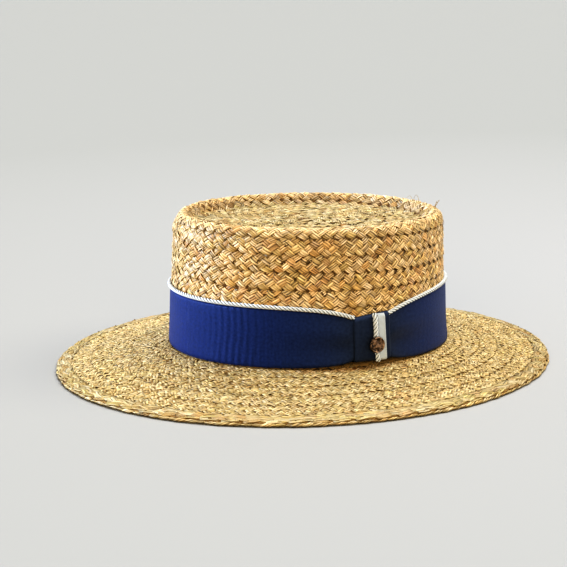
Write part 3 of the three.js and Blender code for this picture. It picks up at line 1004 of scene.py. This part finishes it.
def wrap_cord_piece(material):
    """The cord down the wrap; it leans a little and is tucked in at both ends."""
    rise = np.linspace(0, 1, 70)
    height = WRAP_BOTTOM + (WRAP_TOP - WRAP_BOTTOM) * rise
    lean = WRAP_CORD_BOTTOM_ANGLE + (WRAP_CORD_TOP_ANGLE - WRAP_CORD_BOTTOM_ANGLE) * rise
    bow = WRAP_CORD_BOW * hump(height, PIN_HEIGHT, PIN_RADIUS)
    stand_off = ON_WRAP + CORD_RADIUS - tucked(height, WRAP_TOP, 1.4, 0.8)
    middle, outward = line_on_side(stand_off, lean - bow, height)
    return twisted_cord("wrap_twisted_cord", middle, outward, CORD_RADIUS + 0.2, material)


def pin_piece(material, rng):
    """A small round pin: raised rim, and a field that is hammered into shallow facets."""
    rings, around = 34, 96
    dents, field_radius = 26, 4.2
    radius = np.linspace(0, PIN_RADIUS, rings)[:, None]
    angle = np.linspace(0, TURN, around, endpoint=False)[None, :]
    x, y = radius * np.cos(angle), radius * np.sin(angle)
    rim = 0.62 * hump(radius, PIN_RADIUS - 0.62, 0.34) + 0 * angle
    field = 0.25 * (1 - (radius / PIN_RADIUS) ** 2) + 0 * angle
    for _ in range(dents):
        away, turn = field_radius * math.sqrt(rng.uniform()), rng.uniform(0, TURN)
        dent = rng.uniform(0.5, 1.0)
        near = ((x - away * math.cos(turn)) ** 2 + (y - away * math.sin(turn)) ** 2) / dent ** 2
        field = field - rng.uniform(0.12, 0.34) * np.exp(-near)
    inside_rim = 1 / (1 + np.exp((radius - PIN_RADIUS + 0.9) / 0.12))
    face = 0.95 + rim + field * inside_rim
    drop = np.clip((radius - PIN_RADIUS + 0.35) / 0.35, 0, 1) ** 2
    face = face * (1 - drop)
    front = np.stack([x, y, face], axis=-1)
    back = np.stack([x * 0.97, y * 0.97, 0 * face], axis=-1)
    grid = np.concatenate([front, back[::-1]])
    k = np.arange(2 * rings - 1)[:, None]
    i = np.arange(around)[None, :]
    quads = grid_quads(k, k + 1, i, (i + 1) % around, around, turned=True)
    middle, outward = line_on_side(ON_WRAP + 2 * CORD_RADIUS + GAP, PIN_ANGLE, PIN_HEIGHT)
    outward = unit(outward * (1, 1, 0))
    upward = np.array([0, 0, 1.0])
    axes = np.stack([np.cross(upward, outward), upward, outward])
    points = middle + grid.reshape(-1, 3) @ axes
    return welded(mesh_object("round_pin", points, quads, material))


# ------------------------ stray fibres

def fibre(start, outward, sideways, height, fall, thickness, stations=12):
    """Points round one thin fibre that leaves the straw and bends over; fall 1 brings it back."""
    t = np.linspace(0, 1, stations)[:, None]
    line = start + outward * height * 4 * t * (1 - fall * t) + sideways * t
    along = unit(np.gradient(line, axis=0))
    side = unit(np.cross(along, outward + 0.01))
    other = np.cross(along, side)
    ring = np.linspace(0, TURN, 4, endpoint=False)[None, :, None]
    taper = thickness * (1 - 0.6 * t)[:, None]
    return line[:, None] + taper * (np.cos(ring) * side[:, None] + np.sin(ring) * other[:, None])


def fibres_piece(name, skin, spots, material):
    """Loose ends of straw. Each spot: place along the skin, angle in degrees, height, reach round
    the hat, reach down it, thickness and fall."""
    bodies = []
    for along, degrees, height, round_reach, down_reach, thickness, fall in spots:
        angle = math.radians(degrees)
        start = skin.point(along, angle, -0.6)
        outward = skin.point(along, angle, 0.4) - start
        tangent = unit(skin.round_tangent(along, angle))
        sideways = tangent * round_reach + np.cross(outward, tangent) * down_reach
        bodies.append(fibre(start, outward, sideways, height, fall, thickness))
    points = np.array(bodies)
    tones = np.broadcast_to((*FIBRE_TONE, 1), (*points.shape[:-1], 4))
    return mesh_object(
        name, points, quads_of_tubes(points), material,
        straw_tint=tones, strand_place=np.zeros(points.shape))


def random_spots(rng, count, low, high, tallest):
    """Places for short loose fibres between two distances along a skin."""
    return [(
        rng.uniform(low, high), rng.uniform(0, 360), rng.uniform(0.3, tallest),
        rng.uniform(-4, 4), rng.uniform(-3, 3), rng.uniform(0.06, 0.14), rng.uniform(0.6, 1.05),
    ) for _ in range(count)]


# ------------------------ camera, floor and light

def direction(azimuth, elevation):
    """A direction: azimuth 0 is the front of the hat, a quarter turn the wearer's left."""
    return Vector((
        math.sin(azimuth) * math.cos(elevation),
        -math.cos(azimuth) * math.cos(elevation),
        math.sin(elevation),
    ))


def add_camera():
    """The camera stands in front of the hat, to the wearer's left, and looks down on it."""
    camera = linked(bpy.data.objects.new("camera", bpy.data.cameras.new("camera")))
    camera.data.lens = CAMERA_LENS
    camera.data.sensor_width = SENSOR
    camera.location = (
        CAMERA_DISTANCE * math.sin(CAMERA_AZIMUTH),
        -CAMERA_DISTANCE * math.cos(CAMERA_AZIMUTH) + CROWN_SETBACK * MM,
        CAMERA_HEIGHT,
    )
    camera.rotation_mode = "QUATERNION"
    backward = direction(CAMERA_AIM, CAMERA_PITCH)
    camera.rotation_quaternion = backward.to_track_quat("Z", "Y")
    bpy.context.scene.camera = camera


def add_floor():
    """A wide round floor at z = 0, which stays out of the exported model."""
    body = bmesh.new()
    bmesh.ops.create_circle(body, cap_ends=True, radius=18, segments=96)
    mesh = bpy.data.meshes.new("floor")
    body.to_mesh(mesh)
    body.free()
    mesh.materials.append(floor_material())
    floor = linked(bpy.data.objects.new("floor", mesh))


def add_sun(name, azimuth, elevation, strength, softness, colour):
    """A soft light from a direction, all three angles in degrees."""
    data = bpy.data.lights.new(name, "SUN")
    data.energy = strength * math.pi
    data.angle = math.radians(softness)
    data.color = colour
    lamp = linked(bpy.data.objects.new(name, data))
    towards = direction(math.radians(azimuth), math.radians(elevation))
    lamp.rotation_mode = "QUATERNION"
    lamp.rotation_quaternion = towards.to_track_quat("Z", "Y")
    return lamp


def add_light():
    """A pale room, three soft lights, and a raking one that falls on the hat alone."""
    world = bpy.data.worlds.new("studio")
    bpy.context.scene.world = world
    world.use_nodes = True
    background = world.node_tree.nodes["Background"]
    background.inputs["Color"].default_value = (1.0, 0.99, 0.97, 1)
    background.inputs["Strength"].default_value = 0.28
    view = math.degrees(CAMERA_AZIMUTH)
    add_sun("top_light", view + 130, 75, 0.55, 50, (0.94, 0.99, 1.0))
    add_sun("rim_light", view + 95, 45, 0.35, 40, (1.0, 0.93, 0.72))
    add_sun("front_light", view - 4, 10, 0.52, 60, (1.03, 0.79, 0.40))
    key = add_sun("key_light", view - 93, 15, 1.05, 30, (0.77, 0.93, 1.17))
    key.light_linking.receiver_collection = bpy.data.collections.new("lit_by_key")
    view_settings = bpy.context.scene.view_settings
    view_settings.view_transform = "Standard"
    view_settings.look = "High Contrast"


# ------------------------ straw pieces

def finish_piece(piece, slot, *nodes_replaced):
    """Lights a piece, and says what it rides on and what it replaces; the slot is not used."""
    bpy.data.collections["lit_by_key"].objects.link(piece)
    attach(piece, "root")
    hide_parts(*nodes_replaced)
    return piece


def add_strands(name, part, *made_from):
    """Adds a piece of plaited straw to the crown or the brim."""
    finish_piece(strand_pieces(name, *made_from), part + "_straw", part)


def tone_crown(cells, outside, tip):
    """Paints shade into the corner of the well, more on the side away from the camera, and onto
    the wrap's side of the shoulder; paints a highlight along the crest and greys the tip."""
    along, angle = cells["along"], cells["angle"]
    # Painted shade in the corner of the well, stronger on the side away from the camera.
    at_back = (1 - np.cos(angle - CAMERA_AZIMUTH)) / 2
    painted_shade = 1 - (0.12 + 0.26 * at_back) * hump(along, TIP_EDGE + 5, 5)
    crest = outside.along[np.argmax(outside.height)]
    # Painted shade on the shoulder, on the wrap's side.
    toward_wrap = np.clip(np.cos(angle - math.radians(WRAP_MIDDLE)), 0, 1)
    painted_shade = painted_shade * (1 - 0.2 * hump(along, crest + 9.5, 4.5) * toward_wrap)
    # Painted highlight: the crest is blended towards a pale tone.
    pale = 0.66 * hump(along, crest + 0.5, 3.4)[:, None]
    tint = cells["tint"] * painted_shade[:, None] * (1 - pale) + CREST_HIGHLIGHT_TONE * pale
    cells["tint"] = np.where(tip[:, None], tint * TIP_TONE, tint)


def add_crown(straw, under_straw):
    """The crown's spiral of braid outside and inside, and the layer between them."""
    rng = np.random.default_rng(11)
    outside, inside = crown_outside(), crown_inside()
    plait = CROWN_PLAIT
    first = PAST_CENTRE + 3
    cells = spiral_cells(outside, plait, first, outside.length - plait.half_pitch, rng)
    height = np.interp(cells["along"], outside.along, outside.height)
    shown = height > band_top(np.degrees(cells["angle"]) % 360) - 3
    tip = cells["along"] < TIP_EDGE + 2
    lip = ~tip & (cells["along"] < TIP_EDGE + 22)
    tone_crown(cells, outside, tip)
    side = shown & ~tip & ~lip
    for name, mask in (("tip_braid", tip), ("lip_braid", lip), ("crown_braid", side)):
        chosen = chosen_cells(cells, mask)
        add_strands(name, "crown", outside, plait, chosen, straw, rng)
    inner = spiral_cells(inside, plait, 1, inside.length - first, rng)
    add_strands("crown_braid_inside", "crown", inside, plait, inner, straw, rng, PLAIN_STRAND)
    core = shell_between("crown_under_layer", outside, inside, crown_point, under_straw, False)
    finish_piece(core, "crown_straw", "crown")


def tone_brim(cells):
    """Evens the straw, paints shade on the side towards the camera and paints a warm brown shade at
    the root, most by the wrap.
    """
    usual = cells["tint"].mean(axis=0)
    tint = usual + 0.65 * (cells["tint"] - usual)
    # Painted shade on the side of the brim towards the camera.
    near_side_shade = 1 - 0.19 * np.clip(np.cos(cells["angle"] - CAMERA_AZIMUTH), 0, 1) ** 2
    # Painted shade, warm brown, at the brim's root, strongest by the wrap.
    near_wrap = hump(np.degrees(cells["angle"]) % 360, WRAP_FRONT, 22)
    root_shade = hump(cells["along"], 3.0, 3.4) * (0.1 + 0.9 * near_wrap)
    cells["tint"] = tint * near_side_shade[:, None] * (1 + (ROOT_SHADE_TONE - 1) * root_shade[:, None])


def add_brim(straw, under_straw):
    """The brim's rounds above and below, the band along its edge and the layer between them."""
    rng = np.random.default_rng(23)
    over, under = brim_over(), brim_under()
    edge_start = over.length - 1.0 - EDGE_BAND
    start = edge_start - BRIM_ROUNDS * BRIM_PLAIT.pitch
    cells = ring_cells(over, BRIM_PLAIT, start, BRIM_ROUNDS, rng)
    tone_brim(cells)
    inner = cells["along"] < start + 2 * BRIM_PLAIT.pitch
    outer = cells["along"] > start + 4 * BRIM_PLAIT.pitch
    for name, mask in (("brim_braid_inner", inner), ("brim_braid_middle", ~inner & ~outer),
                       ("brim_braid_outer", outer)):
        chosen = chosen_cells(cells, mask)
        add_strands(name, "brim", over, BRIM_PLAIT, chosen, straw, rng, SMALL_STRAND)
    edge = ring_cells(over, EDGE_PLAIT, edge_start, 1, rng)
    edge["tint"] = edge["tint"] * EDGE_TONE
    add_strands(
        "brim_edge_band", "brim", over, EDGE_PLAIT, edge, straw, rng, SMALL_STRAND, 0.25)
    rounds = int(under.length / CROWN_PLAIT.pitch)
    below = ring_cells(under, CROWN_PLAIT, 0, rounds, rng)
    add_strands(
        "brim_braid_under", "brim", under, CROWN_PLAIT, below, straw, rng, PLAIN_STRAND, 0.3)
    core = shell_between("brim_under_layer", over, under, oval_point, under_straw, True)
    finish_piece(core, "brim_straw", "brim")


def add_brim_edge(straw):
    """The two layers of the edge row, their strands turned over in slanting folds."""
    rng = np.random.default_rng(31)
    for name, radius, height, size, period, slant in (
            ("edge_folds_top", EDGE_RADIUS - 1.5, 3.25, 0.5, 10.5, 13),
            ("edge_folds_under", EDGE_RADIUS + 0.3, 1.45, 1.25, 6.4, 28)):
        skin = edge_bead(radius, height, size)
        plait = FoldedEdge(period, skin.length, slant)
        cells = ring_cells(skin, plait, 0, 1, rng)
        cells["tint"] = cells["tint"] * FOLD_TONE
        add_strands(name, "brim", skin, plait, cells, straw, rng, FINE_STRAND, 0.28)


def add_trim():
    """Ribbon, wrap, tape, cords and pin."""
    ribbon, cord = ribbon_material(), cord_material()
    band = finish_piece(band_piece(ribbon), "ribbon", "hat_band")
    wrap = finish_piece(wrap_piece(ribbon), "ribbon", "band_wrap")
    tape = finish_piece(flange_piece(tape_material()), "cord", "wrap_flange")
    finish_piece(band_cord_piece(cord), "cord", "band_cord")
    finish_piece(wrap_cord_piece(cord), "cord", "wrap_cord")
    finish_piece(pin_piece(pin_material(), np.random.default_rng(8)), "pin_metal", "pin")


def add_fibres(straw):
    """Loose ends of straw that stand out from the braid."""
    rng = np.random.default_rng(47)
    outside, over = crown_outside(), brim_over()
    crest = outside.along_at_height(SHOULDER_FOOT) - 12
    # Long loops: along, degrees, height, reach round, reach down, thickness and fall.
    loops = [
        (crest, 171, 4.2, 9.0, -1, 0.2, 1.0),
        (crest, 177, 2.6, 5.0, 1, 0.17, 0.9),
        (crest + 2, 153, 4.0, -2.5, 0, 0.26, 0.7),
        (crest + 2, 154, 3.2, 1.5, 0, 0.24, 0.75),
        (crest + 3, 156, 2.6, -1.0, 1, 0.22, 0.7),
        (crest + 13, 137, 1.0, 0.5, 4, 0.2, 0.9),
        (crest + 17, 135, 0.9, 0.5, 5, 0.2, 0.9),
    ]
    spots = loops + random_spots(rng, 90, PAST_CENTRE + 5, outside.length - 45, 1.3)
    finish_piece(fibres_piece("crown_fibres", outside, spots, straw), "crown_straw", "crown")
    spots = random_spots(rng, 70, 8, over.length - 1, 1.1)
    finish_piece(fibres_piece("brim_fibres", over, spots, straw), "brim_straw", "brim")


add_camera()
add_floor()
add_light()
# The under layers are painted dark, as shade in the gaps between strands.
under_crown = under_straw_material("under_crown", (0.05, 0.022, 0.006), (0.20, 0.095, 0.026))
under_brim = under_straw_material("under_brim", (0.16, 0.085, 0.025), (0.40, 0.25, 0.09))
crown_straw = straw_material("crown_straw", (1.12, 0.985, 0.855))
brim_straw = straw_material("brim_straw", (1.055, 1.02, 0.915))
add_crown(crown_straw, under_crown)
add_brim(brim_straw, under_brim)
add_brim_edge(brim_straw)
add_trim()
add_fibres(brim_straw)
